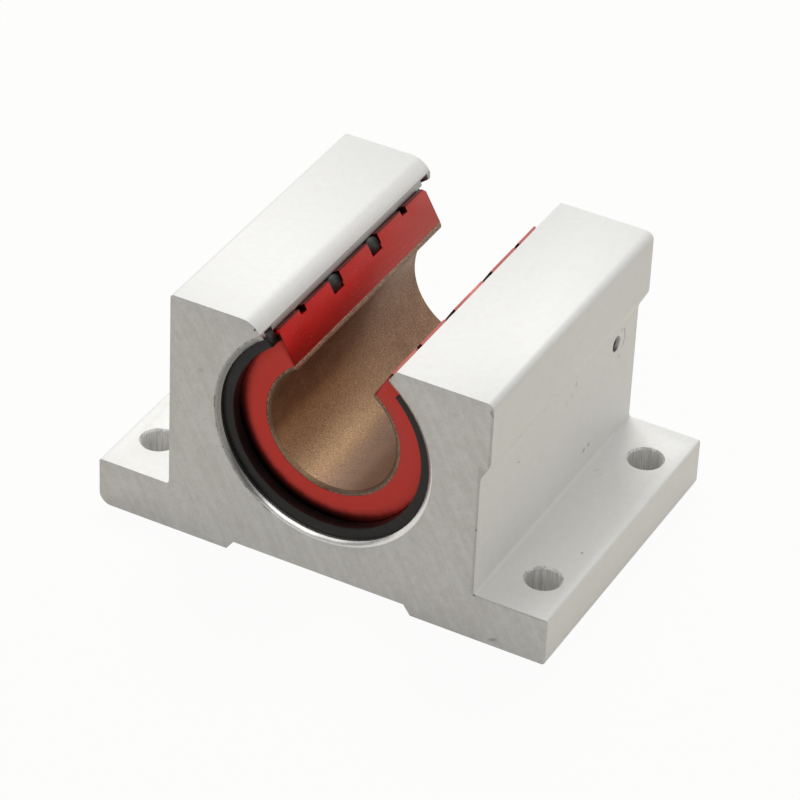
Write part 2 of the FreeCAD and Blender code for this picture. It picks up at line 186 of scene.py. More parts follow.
class Graph:
    """The nodes and links of one material or world under construction."""

    def __init__(self, tree: bpy.types.NodeTree) -> None:
        """Keep the tree that nodes are added to."""
        self.tree = tree

    def node(self, kind: str, settings: dict, values: dict) -> bpy.types.Node:
        """Add any node.

        Args:
            kind: the node's type.
            settings: its properties, which are set first.
            values: what its sockets hold, by name or number: a number, a
                tuple, a socket or a Term.

        Returns:
            The new node.
        """
        made = self.tree.nodes.new(kind)
        for key, value in settings.items():
            setattr(made, key, value)
        for key, value in values.items():
            self.put(made.inputs[key], value)
        return made

    def put(self, socket: bpy.types.NodeSocket, value: object) -> None:
        """Set or link one input socket.

        Args:
            socket: the input.
            value: a number, a tuple, a socket or a Term.
        """
        if isinstance(value, Term):
            self.tree.links.new(value.socket, socket)
        elif isinstance(value, bpy.types.NodeSocket):
            self.tree.links.new(value, socket)
        else:
            socket.default_value = value

    def split(self, vector: bpy.types.NodeSocket) -> tuple[Term, Term, Term]:
        """Take a vector apart into its three numbers."""
        made = self.node("ShaderNodeSeparateXYZ", {}, {0: vector})
        return tuple(Term(self, socket) for socket in made.outputs)

    def ray(self, kind: str) -> Term:
        """1 for rays of one kind, named as on the Light Path node, else 0."""
        return Term(self, self.node("ShaderNodeLightPath", {}, {}).outputs[kind])


class Mixer(Graph):
    """One material under construction, with its coordinates in mm.

    Besides X, Y and Z it has the height above the shaft's axis and the
    distance from it.
    """

    def __init__(self, name: str) -> None:
        """Start a material with a Principled shader.

        Args:
            name: the material's name.
        """
        self.material = bpy.data.materials.new(name)
        self.material.use_nodes = True
        super().__init__(self.material.node_tree)
        self.shader = self.tree.nodes["Principled BSDF"]
        place = self.node("ShaderNodeTexCoord", {}, {}).outputs["Object"]
        self.place = self.node("ShaderNodeVectorMath", {"operation": "SCALE"},
                               {0: place, "Scale": 1 / MM}).outputs[0]
        self.x, self.y, self.z = self.split(self.place)
        facing = self.node("ShaderNodeNewGeometry", {}, {}).outputs["True Normal"]
        self.facing_x, self.facing_y, self.facing_z = self.split(facing)
        self.up = self.z - BLOCK.centre
        self.radius = (self.x * self.x + self.up * self.up).root()

    def moved(self, scale: tuple[float, float, float],
              turn: tuple[float, float, float]) -> bpy.types.NodeSocket:
        """The place in mm, turned and then stretched by Mapping nodes.

        Args:
            scale: stretch along each axis, after the turn.
            turn: degrees about each axis.

        Returns:
            The mapped vector.
        """
        turned = self.node("ShaderNodeMapping", {"vector_type": "POINT"}, {
            "Vector": self.place,
            "Rotation": tuple(math.radians(angle) for angle in turn)})
        made = self.node("ShaderNodeMapping", {"vector_type": "POINT"},
                         {"Vector": turned.outputs[0], "Scale": scale})
        return made.outputs[0]

    def noise(self, vector: bpy.types.NodeSocket, scale: float,
              detail: float, roughness: float) -> Term:
        """Soft random relief between 0 and 1.

        Args:
            vector: where it is read.
            scale: lumps per unit of the vector.
            detail: octaves of finer relief.
            roughness: how strong the finer octaves are.

        Returns:
            The relief.
        """
        made = self.node("ShaderNodeTexNoise", {"noise_dimensions": "3D"}, {
            "Vector": vector, "Scale": scale, "Detail": detail,
            "Roughness": roughness})
        return Term(self, made.outputs[0])

    def cells(self, vector: bpy.types.NodeSocket, scale: float) -> tuple[Term, Term]:
        """Random cells.

        Args:
            vector: where they are read.
            scale: cells per unit of the vector.

        Returns:
            The distance to the cell's centre and a random number per cell.
        """
        made = self.node("ShaderNodeTexVoronoi", {"feature": "F1"},
                         {"Vector": vector, "Scale": scale})
        tone = self.split(made.outputs["Color"])[0]
        return Term(self, made.outputs["Distance"]), tone

    def blend(self, share: "Term | float", first: object, second: object
              ) -> bpy.types.NodeSocket:
        """Mix two colours.

        Args:
            share: 0 gives the first colour, 1 the second.
            first: a colour or a colour socket.
            second: a colour or a colour socket.

        Returns:
            The mixed colour.
        """
        made = self.node("ShaderNodeMix", {"data_type": "RGBA", "clamp_factor": True},
                         {"Factor": share, 6: first, 7: second})
        return made.outputs[2]

    def bump(self, height: Term, depth: float,
             under: "bpy.types.NodeSocket | None" = None) -> bpy.types.NodeSocket:
        """Relief in the surface.

        Args:
            height: the relief, between 0 and 1.
            depth: its full height in mm.
            under: the normal of coarser relief below it.

        Returns:
            The normal.
        """
        values = {"Height": height, "Strength": 1.0, "Distance": depth * MM}
        if under is not None:
            values["Normal"] = under
        return self.node("ShaderNodeBump", {}, values).outputs[0]

    def finish(self, **sockets: object) -> bpy.types.Material:
        """Fill the shader's sockets and hand the material over.

        Args:
            sockets: what each socket holds, by its name with underscores.

        Returns:
            The material.
        """
        for name, value in sockets.items():
            self.put(self.shader.inputs[name.replace("_", " ")], value)
        return self.material


# ---------------------------------------------------------------- finishes

@dataclass(frozen=True)
class Block:
    """Places on the block that its finish and its fittings refer to, in mm.

    They are half the block's length, its right wall's plane, the flanges'
    top, the shaft's height, and the fixing holes' offsets.
    """

    half_length: float = 23.875
    wall: float = 23.7
    flange: float = 7.5
    centre: float = 23.8
    hole_across: float = 30.165
    hole_along: float = 15.875


BLOCK = Block()


@dataclass(frozen=True)
class Pattern:
    """A soft random pattern.

    Its fields are the lumps per mm, the octaves, how strong the finer ones
    are, and for a stretched pattern its stretch along each axis and the
    turn before it, in degrees.
    """

    scale: float
    detail: float = 2.0
    roughness: float = 0.5
    stretch: tuple[float, float, float] | None = None
    turn: tuple[float, float, float] = (0.0, 0.0, 0.0)

    def on(self, mixer: Mixer) -> Term:
        """Read the pattern over a material.

        Args:
            mixer: the material.

        Returns:
            The pattern, between 0 and 1.
        """
        place = mixer.place
        if self.stretch is not None:
            place = mixer.moved(self.stretch, self.turn)
        return mixer.noise(place, self.scale, self.detail, self.roughness)


@dataclass(frozen=True)
class Mark:
    """A small dark mark on a flat face.

    Its fields are the two coordinates of its middle and its two half sizes,
    all in mm, how far its long side leans, in degrees, and how strong it is.
    """

    across: float
    up: float
    long: float
    short: float
    lean: float = 0.0
    strength: float = 0.5

    def share(self, across: Term, up: Term) -> Term:
        """How much of the mark each point takes.

        The offset from the middle is turned by the lean and divided by the
        half sizes, and the mark fades as its length goes from 0.5 to 1.2.

        Args:
            across: first coordinate on the face, in mm.
            up: second coordinate on the face, in mm.

        Returns:
            The share, between 0 and the mark's strength.
        """
        cos, sin = math.cos(math.radians(self.lean)), math.sin(math.radians(self.lean))
        right, rise = across - self.across, up - self.up
        first = right * (cos / self.long) + rise * (sin / self.long)
        second = rise * (cos / self.short) - right * (sin / self.short)
        return (first * first + second * second).root().ramp(1.2, 0.5) * self.strength


@dataclass(frozen=True)
class AnodisedBlock:
    """Satin anodised extrusion with milled ends and a turned bore.

    A Step is where a mask leaves 0 and where it reaches 1, and a Span adds
    where it leaves 1 and is back at 0.  Both are in mm, apart from facings,
    which are shares of a unit normal.
    """

    satin: Colour = linear("F3F3F1")
    satin_warm: Colour = linear("EFEEEA")
    milled: Colour = linear("C9C8C5")
    milled_dark: Colour = linear("BDBBB7")
    turned: Colour = linear("F0EFEC")
    # dark turned tone: painted shade on the left of the bore and its lead-in, and the
    # drilled walls' feed lines
    turned_shade_and_feed_lines: Colour = linear("8E8C88")
    # dark of the grime, and of the painted shade in the screw hole and under the band
    grime_and_shade: Colour = linear("3B3833")

    flat: Step = (0.85, 0.95)
    end_facing: Step = (0.80, 0.95)
    turned_radii: Span = (15.5, 15.7, 16.85, 16.95)
    painted_shade_left: Step = (0.42, 0.68)
    groove_radii: Step = (16.05, 16.20)
    groove_along: Step = (23.2, 23.0)
    drilled_radii: Step = (3.0, 2.85)

    screw: float = 17.375
    screw_hole: Step = (1.24, 1.16)
    screw_arc: Span = (2.35, 2.45, 2.60, 2.75)
    band_foot: float = 26.62
    foot_half: float = 0.16
    line_radii: Span = (16.50, 16.62, 16.72, 16.86)
    cone_radii: Span = (15.9, 16.0, 16.6, 16.8)

    mill_marks: Pattern = Pattern(1.0, 4, 0.62, (0.9, 1.0, 0.07), (0, 28, 0))
    blotches: Pattern = Pattern(0.10, 3)
    mottle: Pattern = Pattern(0.9, 4, 0.65)
    grain: Pattern = Pattern(5.5, 2, 0.6)
    lathe_lines: Pattern = Pattern(1.0, stretch=(0.02, 9.0, 0.02))
    drill_lines: Pattern = Pattern(1.0, stretch=(5.0, 5.0, 0.25))
    grain_depth: float = 0.004
    mill_depth: float = 0.006
    lathe_depth: float = 0.008
    drill_depth: float = 0.030

    skin_metal: float = 0.25
    cut_metal: float = 0.65
    drilled_metal: float = -0.70
    skin_rough: float = 0.56
    grain_rough: float = 0.10
    end_rough: float = -0.10
    turned_rough: float = -0.35
    groove_rough: float = 0.33
    drilled_rough: float = -0.16

    arc_grime: float = 0.35
    hole_shade: float = 0.75
    foot_shade: float = 0.30
    rim_darkening: float = 0.16
    line_grime: tuple[float, float] = (0.20, 0.40)
    cone_grime: float = 0.55
    nick_grime: float = 0.30
    drill_line_share: float = 0.30

    wall_marks: tuple[Mark, ...] = (
        Mark(-12.26, 22.17, 0.30, 0.12, -20.0, 0.55),
        Mark(10.34, 10.90, 0.40, 0.20, 30.0, 0.55),
        Mark(8.91, 10.81, 0.45, 0.24, 35.0, 0.50),
        Mark(4.68, 24.64, 0.55, 0.14, 75.0, 0.40),
        Mark(3.37, 23.53, 0.45, 0.18, 40.0, 0.25),
        Mark(2.10, 23.00, 0.60, 0.14, 50.0, 0.18),
        Mark(18.51, 21.10, 0.35, 0.25, 60.0, 0.25),
        Mark(18.79, 25.34, 0.50, 0.30, 120.0, 0.18),
    )
    flange_marks: tuple[Mark, ...] = (
        Mark(32.16, -8.15, 0.17, 0.15, 0.0, 0.75),
        Mark(25.54, 9.90, 0.50, 0.14, 60.0, 0.18),
        Mark(26.40, 9.10, 0.40, 0.12, 100.0, 0.15),
    )
    front_marks: tuple[Mark, ...] = (
        Mark(-10.69, 38.00, 0.30, 0.20, 70.0, 0.75),
        Mark(-18.75, 28.54, 0.45, 0.35, 30.0, 0.14),
        Mark(26.97, 1.08, 0.80, 0.28, 25.0, 0.35),
        Mark(23.90, 7.45, 0.35, 0.22, 30.0, 0.60),
        Mark(23.62, 18.26, 0.30, 0.24, 0.0, 0.60),
        Mark(24.80, 37.60, 0.70, 0.25, 115.0, 0.45),
    )

    def make(self) -> bpy.types.Material:
        """Mix the surfaces by where they are.

        The ends lie in two planes, the turned wall lies between two radii
        about the shaft's axis, and the drilled walls lie about the axes of
        the holes; the rest is the extrusion's skin.
        """
        mixer = Mixer("anodised_block")
        x, y, radius = mixer.x, mixer.y, mixer.radius
        end = abs(mixer.facing_y).ramp(*self.end_facing) * abs(y).ramp(
            BLOCK.half_length - 0.20, BLOCK.half_length - 0.05)
        bore = radius.band(*self.turned_radii) * (1 - end)
        groove = (bore * radius.ramp(*self.groove_radii)
                  * abs(y).ramp(*self.groove_along))
        off_x, off_y = abs(x) - BLOCK.hole_across, abs(y) - BLOCK.hole_along
        from_hole = (off_x * off_x + off_y * off_y).root()
        drilled = from_hole.ramp(*self.drilled_radii) * mixer.facing_z.ramp(0.9, 0.7)
        cut_share = end.most(bore).most(drilled)

        streaks, mottle = self.mill_marks.on(mixer), self.mottle.on(mixer)
        grain, feed = self.grain.on(mixer), self.drill_lines.on(mixer)
        skin = mixer.blend((mottle * 0.4 + grain * 0.6).ramp(0.38, 0.62),
                           self.satin, self.satin_warm)
        tone = (streaks * 0.30 + mottle * 0.30 + grain * 0.28
                + self.blotches.on(mixer) * 0.12)
        cut = mixer.blend(tone.ramp(0.40, 0.60), self.milled, self.milled_dark)
        colour = mixer.blend(end, skin, cut)
        # painted shade: the turned surfaces are darker on their left
        turned = mixer.blend((-x / radius).ramp(*self.painted_shade_left),
                             self.turned, self.turned_shade_and_feed_lines)
        colour = mixer.blend(bore, colour, turned)
        colour = mixer.blend(drilled * feed.ramp(0.44, 0.60)
                             * self.drill_line_share, colour, self.turned_shade_and_feed_lines)
        colour = mixer.blend(self.dirt_and_shade(mixer, end, drilled, mottle, grain),
                             colour, self.grime_and_shade)

        rough = (self.skin_rough + grain * self.grain_rough
                 + end * self.end_rough + bore * self.turned_rough
                 + groove * self.groove_rough + drilled * self.drilled_rough)
        relief = mixer.bump(grain * (1 - bore), self.grain_depth)
        relief = mixer.bump(streaks * end, self.mill_depth, relief)
        relief = mixer.bump(self.lathe_lines.on(mixer) * bore,
                            self.lathe_depth, relief)
        relief = mixer.bump(feed * drilled, self.drill_depth, relief)
        metal = (self.skin_metal + cut_share * self.cut_metal
                 + drilled * self.drilled_metal)
        return mixer.finish(Base_Color=colour, Metallic=metal,
                            Roughness=rough, Normal=relief)

    def dirt_and_shade(self, mixer: Mixer, end: Term, drilled: Term, mottle: Term,
             grain: Term) -> Term:
        """How dark each point is with nicks, scuffs, grime and painted shade.

        Args:
            mixer: the material.
            end: share of the milled ends.
            drilled: share of the drilled walls.
            mottle: relief of about 1 mm.
            grain: relief of about 0.2 mm.

        Returns:
            The share of grime and painted shade, between 0 and 1.
        """
        side = mixer.facing_x.ramp(*self.flat) * mixer.x.ramp(
            BLOCK.wall - 0.3, BLOCK.wall - 0.1)
        front = end * mixer.y.ramp(-20.0, -21.0)
        nicks = mottle.ramp(0.5, 0.56) * mixer.facing_z.ramp(0.2, 0.4)
        parts = (self.nicks(mixer, side, front) + self.screw_wear_and_shade(mixer, side)
                 + self.edge_lines(mixer, front, mottle, grain)
                 + [drilled * nicks * self.nick_grime])
        return reduce(Term.most, parts)

    def nicks(self, mixer: Mixer, side: Term, front: Term) -> list[Term]:
        """The marks on the right wall, the right flange and the front.

        Args:
            mixer: the material.
            side: share of the right wall.
            front: share of the front end.

        Returns:
            One share of grime for each mark.
        """
        x, y, z = mixer.x, mixer.y, mixer.z
        top = (mixer.facing_z.ramp(*self.flat) * x.ramp(20.0, 21.0)
               * z.ramp(BLOCK.flange + 0.5, BLOCK.flange + 0.3))
        return ([side * mark.share(y, z) for mark in self.wall_marks]
                + [top * mark.share(x, y) for mark in self.flange_marks]
                + [front * mark.share(x, z) for mark in self.front_marks])

    def screw_wear_and_shade(self, mixer: Mixer, side: Term) -> list[Term]:
        """A rubbed arc beside the set screw, and painted shade on the wall of its
        hole.

        Args:
            mixer: the material.
            side: share of the right wall.

        Returns:
            The share of wear and the share of painted shade.
        """
        off_y = mixer.y - self.screw
        reach = (off_y * off_y + mixer.up * mixer.up).root()
        arc = side * reach.band(*self.screw_arc) * off_y.ramp(1.8, 2.2)
        # painted shade: the wall of the screw's hole is darkened
        hole = (reach.ramp(*self.screw_hole) * mixer.x.ramp(15.0, 16.0)
                * off_y.ramp(1.0, 0.2))
        return [arc * self.arc_grime, hole * self.hole_shade]

    def edge_lines(self, mixer: Mixer, front: Term, mottle: Term, grain: Term
                   ) -> list[Term]:
        """Broken lines of grime along edges.

        They lie under the band, along the right jaw's front edge, round the
        outside of the bore's lead-in on its left, and as specks inside it.

        Args:
            mixer: the material.
            front: share of the front end.
            mottle: relief of about 1 mm.
            grain: relief of about 0.2 mm.

        Returns:
            The shares of grime, painted shade and darkening.
        """
        x, y, z, radius = mixer.x, mixer.y, mixer.z, mixer.radius
        broken = mottle.ramp(0.47, 0.60)
        # painted shade: a dark line where the band meets the lower wall
        foot = ((z - self.band_foot).band(-self.foot_half, 0.0, 0.0, self.foot_half)
                * x.ramp(BLOCK.wall - 0.2, BLOCK.wall - 0.1) * y.ramp(2.0, -2.0))
        # a darker strip along the front face's right edges
        rim = x.ramp(24.55, 24.80).most(
            x.ramp(23.20, 23.45) * z.band(7.2, 7.4, 28.0, 29.0))
        left = x.ramp(-5.0, -8.0)
        line = radius.band(*self.line_radii) * y.ramp(-23.2, -23.5)
        cone = radius.band(*self.cone_radii) * y.ramp(-23.3, -23.5)
        least, more = self.line_grime
        return [foot * broken * self.foot_shade,
                front * rim * z.ramp(7.0, 7.4) * self.rim_darkening,
                line * left * (least + broken * more),
                cone * left * grain.ramp(0.60, 0.66) * self.cone_grime]


@dataclass(frozen=True)
class RedShell:
    """Red anodised aluminium, a little chalky on its cut faces."""

    red: Colour = linear("C6150C")
    pale: Colour = linear("B8483F")
    dust: Colour = linear("D9A49A")
    # near-black of the painted shade and shadow
    black: Colour = linear("1E0A08")
    front: float = -20.95
    rear: float = 20.35
    rim_radii: Step = (15.62, 15.74)
    ring_shadow_radii: Step = (14.0, 14.5)
    shade_radii: Step = (12.2, 14.2)
    low_left: tuple[float, float] = (0.6, 0.8)

    clouds: Pattern = Pattern(1.0, 3, 0.6, (0.30, 0.14, 0.30))
    grain: Pattern = Pattern(5.0, 3, 0.65)
    flecks: Pattern = Pattern(2.6, 2, 0.7)
    scratches: Pattern = Pattern(1.0, 2, 0.6, (6.0, 0.5, 6.0), (20, 0, 0))
    metal: float = 0.80
    wall_metal: float = -0.30
    rough: float = 0.27
    grain_rough: float = 0.12
    grain_depth: float = 0.010

    def make(self) -> bpy.types.Material:
        """Saturated on the opening's walls, paler on the end faces.

        The walls carry fine pale flecks, most of them near the front, and
        the right wall is dusty.
        """
        mixer = Mixer("red_anodised_shell")
        end = abs(mixer.facing_y).ramp(0.7, 0.95)
        wall = 1 - end
        left = mixer.x.ramp(0.5, -0.5)
        grain, clouds = self.grain.on(mixer), self.clouds.on(mixer)
        faded = mixer.y.ramp(-6.0, 20.0).most(1 - left) * 0.75
        share = end * 0.60 + wall * (faded + clouds.ramp(0.42, 0.75) * 0.22)
        colour = mixer.blend(share, self.red, self.pale)
        fleck = (self.flecks.on(mixer).ramp(0.68, 0.75)
                 * (0.30 + mixer.y.ramp(-8.0, -20.0) * 0.40))
        rubbed = self.scratches.on(mixer).ramp(0.66, 0.74) * 0.25
        rubbed = rubbed.most((1 - left) * (0.20 + grain * 0.30))
        colour = mixer.blend(wall * fleck.most(rubbed), colour, self.dust)
        # painted shade and shadow, see shade()
        colour = mixer.blend(self.shade(mixer, end, left, grain),
                             colour, self.black)
        return mixer.finish(Base_Color=colour,
                            Metallic=self.metal + wall * self.wall_metal,
                            Roughness=self.rough + grain * self.grain_rough,
                            Normal=mixer.bump(grain, self.grain_depth))

    def shade(self, mixer: Mixer, end: Term, left: Term, grain: Term) -> Term:
        """Painted shade along the left wall's edges, and by the ring on the ends.

        On the ends the painted shadow is strongest low on the left, where the
        unit vector from the axis lies along low_left.

        Args:
            mixer: the material.
            end: share of the end faces.
            left: share of the left half.
            grain: fine relief.

        Returns:
            The share of black.
        """
        y, radius = mixer.y, mixer.radius
        # painted shade along the left wall's edges, deepest in the gap under the
        # housing's lip
        edge = radius.ramp(*self.rim_radii).most(
            y.ramp(self.front + 0.20, self.front + 0.08))
        edge = edge.most(y.ramp(self.rear - 0.20, self.rear - 0.08) * 0.6)
        aside, below = self.low_left
        # painted shadow by the ring on the end faces, over a slight darkening of the
        # whole face
        low = (-(mixer.x * aside + mixer.up * below) / radius).ramp(0.0, 0.9)
        face = 0.10 + radius.ramp(*self.shade_radii) * (0.12 + low * 0.80)
        face = face.most(radius.ramp(*self.ring_shadow_radii) * 0.90)
        return ((1 - end) * left * edge * 0.80).most(
            end * (face + grain.ramp(0.55, 0.75) * 0.08))


@dataclass(frozen=True)
class BronzeLiner:
    """Resin liner filled with bronze: brown, with a fine golden sparkle."""

    brown: Colour = linear("7D5B45")
    light: Colour = linear("A07C61")
    gold: Colour = linear("F0CFA0")
    raw: Colour = linear("B9A58C")
    # painted sheen colour of the bright band low on the left
    painted_sheen: Colour = linear("E6BD92")
    # grey painted sheen colour
    grey_sheen: Colour = linear("A58C7A")
    # dark brown of the ends, also used for painted shade along the bottom
    deep: Colour = linear("3E2C20")
    rim_radii: Step = (9.96, 10.10)
    lip_heights: Step = (31.50, 31.62)
    sheen_side: tuple[float, float] = (0.60, 0.80)
    clouds: Pattern = Pattern(0.35, 3)
    grain: Pattern = Pattern(3.6, 4, 0.75)
    fine: Pattern = Pattern(6.5, 2, 0.6)
    specks_per_mm: float = 5.5
    metal: float = 0.72
    lip_metal: float = -0.4
    rough: float = 0.44
    speck_rough: float = -0.16
    grain_depth: float = 0.035

    def make(self) -> bpy.types.Material:
        """Two browns in fine grains, with metal specks.

        A band low on the left, along sheen_side from the axis, takes a painted
        sheen with brighter gold specks, the bottom takes painted shade, and the
        right a grey painted sheen.  The ends are dark with a pale rim, and the
        lips of the opening are pale.
        """
        mixer = Mixer("bronze_filled_liner")
        radius = mixer.radius
        grain, clouds = self.grain.on(mixer), self.clouds.on(mixer)
        fine = self.fine.on(mixer).ramp(0.38, 0.62)
        distance, tone = mixer.cells(mixer.place, self.specks_per_mm)
        speck = distance.ramp(0.42, 0.22) * tone.ramp(0.72, 0.80)

        aside, below = self.sheen_side
        # painted sheen: a band low on the left, stronger towards the front
        sheen_band = (-(mixer.x * aside + mixer.up * below) / radius).ramp(0.78, 0.98)
        sheen_band = sheen_band * mixer.y.ramp(14.0, -12.0)
        lean = mixer.x / radius
        # painted shade along the bottom of the bore
        low = lean.band(-0.35, -0.12, 0.05, 0.28)
        colour = mixer.blend((grain * 0.75 + clouds * 0.25).ramp(0.40, 0.62),
                             self.brown, self.light)
        colour = mixer.blend(sheen_band * (0.30 + fine * 0.70), colour, self.painted_sheen)
        # grey painted sheen on the right of the bore
        colour = mixer.blend(lean.ramp(-0.25, 0.05) * 0.50, colour, self.grey_sheen)
        colour = mixer.blend(low * 0.28, colour, self.deep)
        # gold specks, brighter inside the painted sheen band
        colour = mixer.blend(speck * (0.20 + sheen_band * 0.55), colour, self.gold)

        end = abs(mixer.facing_y).ramp(0.30, 0.50)
        lips = mixer.z.ramp(*self.lip_heights)
        pale = (radius.ramp(*self.rim_radii) * end).most(lips)
        colour = mixer.blend(end * 0.60, colour, self.deep)
        colour = mixer.blend(pale * grain.ramp(0.46, 0.58) * 0.55, colour, self.raw)
        return mixer.finish(Base_Color=colour,
                            Metallic=self.metal + lips * self.lip_metal,
                            Roughness=self.rough + speck * self.speck_rough,
                            Normal=mixer.bump(grain, self.grain_depth))


@dataclass(frozen=True)
class BlackMoulding:
    """Black rubber or enamel, with faint dust and a fine grain."""

    name: str
    black: Colour = linear("161615")
    grey: Colour = linear("262523")
    rough: float = 0.46
    grain_rough: float = 0.12
    gloss: float = 0.50
    dust: Pattern = Pattern(0.5, 3, 0.6)
    grain: Pattern = Pattern(8.0, 2, 0.6)
    grain_depth: float = 0.012

    def make(self) -> bpy.types.Material:
        """Two near-black tones under a fine grain."""
        mixer = Mixer(self.name)
        grain, dust = self.grain.on(mixer), self.dust.on(mixer)
        colour = mixer.blend(dust.ramp(0.4, 0.7), self.black, self.grey)
        return mixer.finish(Base_Color=colour, Metallic=0.0,
                            Roughness=self.rough + grain * self.grain_rough,
                            Specular_IOR_Level=self.gloss,
                            Normal=mixer.bump(grain, self.grain_depth))


@dataclass(frozen=True)
class DarkSteel:
    """Blackened steel of the set screw, with worn patches."""

    dark: Colour = linear("141413")
    worn: Colour = linear("4A4946")
    wear: Pattern = Pattern(2.0, 3, 0.6)
    rough: float = 0.42
    worn_rough: float = -0.1

    def make(self) -> bpy.types.Material:
        """Dark, and smoother where it is worn."""
        mixer = Mixer("blackened_screw")
        wear = self.wear.on(mixer).ramp(0.45, 0.7)
        colour = mixer.blend(wear * 0.6, self.dark, self.worn)
        return mixer.finish(Base_Color=colour, Metallic=1.0,
                            Roughness=self.rough + wear * self.worn_rough)


# ------------------------------------------------------------------ meshes

def surface(name: str, grid: np.ndarray, closed_across: bool = False
            ) -> bpy.types.Object:
    """Make a mesh of a grid of points, with quads between its neighbours.

    Args:
        name: the object's name.
        grid: points in mm, rows along the path and columns across it.
        closed_across: whether the last column joins the first, and the
            first and last rows are filled.

    Returns:
        The object, smooth, with its place in its mesh.
    """
    rows, columns = grid.shape[:2]
    index = np.arange(rows * columns).reshape(rows, columns)
    if closed_across:
        index = np.concatenate([index, index[:, :1]], axis=1)
    quads = np.stack([index[:-1, :-1], index[:-1, 1:], index[1:, 1:],
                      index[1:, :-1]], axis=-1).reshape(-1, 4)
    faces = quads.tolist()
    if closed_across:
        faces += [index[0, :-1][::-1].tolist(), index[-1, :-1].tolist()]
    mesh = bpy.data.meshes.new(name)
    mesh.from_pydata((grid.reshape(-1, 3) * MM).tolist(), [], faces)
    mesh.polygons.foreach_set("use_smooth", np.ones(len(faces), bool))
    mesh.update()
    made = bpy.data.objects.new(name, mesh)
    bpy.context.scene.collection.objects.link(made)
    return made


def rounded_box(half_wide: float, half_high: float, radius: float,
                steps: int = 6) -> np.ndarray:
    """Profile of a rectangle with round corners.

    Each corner is a quarter circle about a centre one radius inside the
    rectangle's corner.

    Args:
        half_wide: half of its width.
        half_high: half of its height.
        radius: radius of the corners.
        steps: points on each corner.

    Returns:
        Points of the profile, anticlockwise.
    """
    angle = np.linspace(0, math.pi / 2, steps)
    corner = np.stack([np.cos(angle), np.sin(angle)], axis=-1) * radius
    centres = np.array([(1, 1), (-1, 1), (-1, -1), (1, -1)], float)
    centres *= (half_wide - radius, half_high - radius)
    turns = np.array([[[1, 0], [0, 1]], [[0, 1], [-1, 0]],
                      [[-1, 0], [0, -1]], [[0, -1], [1, 0]]], float)
    return (np.einsum("ij,kjl->kil", corner, turns) + centres[:, None]).reshape(-1, 2)


def ring(profile: np.ndarray, middle: float, along: float, angles: np.ndarray
         ) -> np.ndarray:
    """Carry a profile round the shaft's axis.

    A point of the profile lies its first number along the shaft from the
    ring's middle plane, and its second number outside the middle radius.
    Angles are measured from straight up, towards +X.

    Args:
        profile: points of the section.
        middle: radius of the section's middle.
        along: where the ring's middle plane lies on Y.
        angles: where each section stands; a column of one angle per row, or
            one angle per point.

    Returns:
        The grid of points, one row per angle.
    """
    radius = middle + profile[None, :, 1]
    across = radius * np.sin(angles)
    up = BLOCK.centre + radius * np.cos(angles)
    depth = np.broadcast_to(along + profile[None, :, 0], across.shape)
    return np.stack([across, depth, up], axis=-1)


def break_edges(made: bpy.types.Object, width: float, sharp: float = 33.0) -> None:
    """Join an object's loose triangles and round its sharp edges a little.

    Args:
        made: the object.
        width: width of the rounding in mm.
        sharp: edges that turn more than this many degrees are rounded.
    """
    made.data.polygons.foreach_set(
        "use_smooth", np.ones(len(made.data.polygons), bool))
    weld = made.modifiers.new("weld", "WELD")
    weld.merge_threshold = 0.002 * MM
    bevel = made.modifiers.new("edges", "BEVEL")
    bevel.limit_method = "ANGLE"
    bevel.angle_limit = math.radians(sharp)
    bevel.width = width * MM
    bevel.segments = 2
    bevel.harden_normals = True
    bevel.use_clamp_overlap = True


def dress(made: bpy.types.Object, material: bpy.types.Material) -> None:
    """Give an object one material on all its faces."""
    made.data.materials.clear()
    made.data.materials.append(material)


# ---------------------------------------------------------- sub-assemblies

class End(Enum):
    """Which end of the block a ring belongs to."""

    FRONT = "front"
    REAR = "rear"


@dataclass(frozen=True)
class Seat:
    """The room that one ring has, in mm.

    It is the ring's middle plane on Y, half its width along the shaft, and
    its outer radius.
    """

    along: float
    half_wide: float
    outer: float

    @classmethod
    def of(cls, node: str) -> "Seat":
        """Read it from the box of the ring's solid.

        Args:
            node: the solid's name.

        Returns:
            The room.
        """
        low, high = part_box(node)
        return cls((low.y + high.y) / 2 / MM, (high.y - low.y) / 2 / MM,
                   (high.x - low.x) / 2 / MM)


@dataclass
class Housing:
    """The extruded block itself: its solid stays, with broken edges."""

    edge: float = 0.14

    def build(self) -> list[bpy.types.Object]:
        """Dress the block."""
        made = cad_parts["housing"]
        break_edges(made, self.edge)
        dress(made, AnodisedBlock().make())
        return [made]


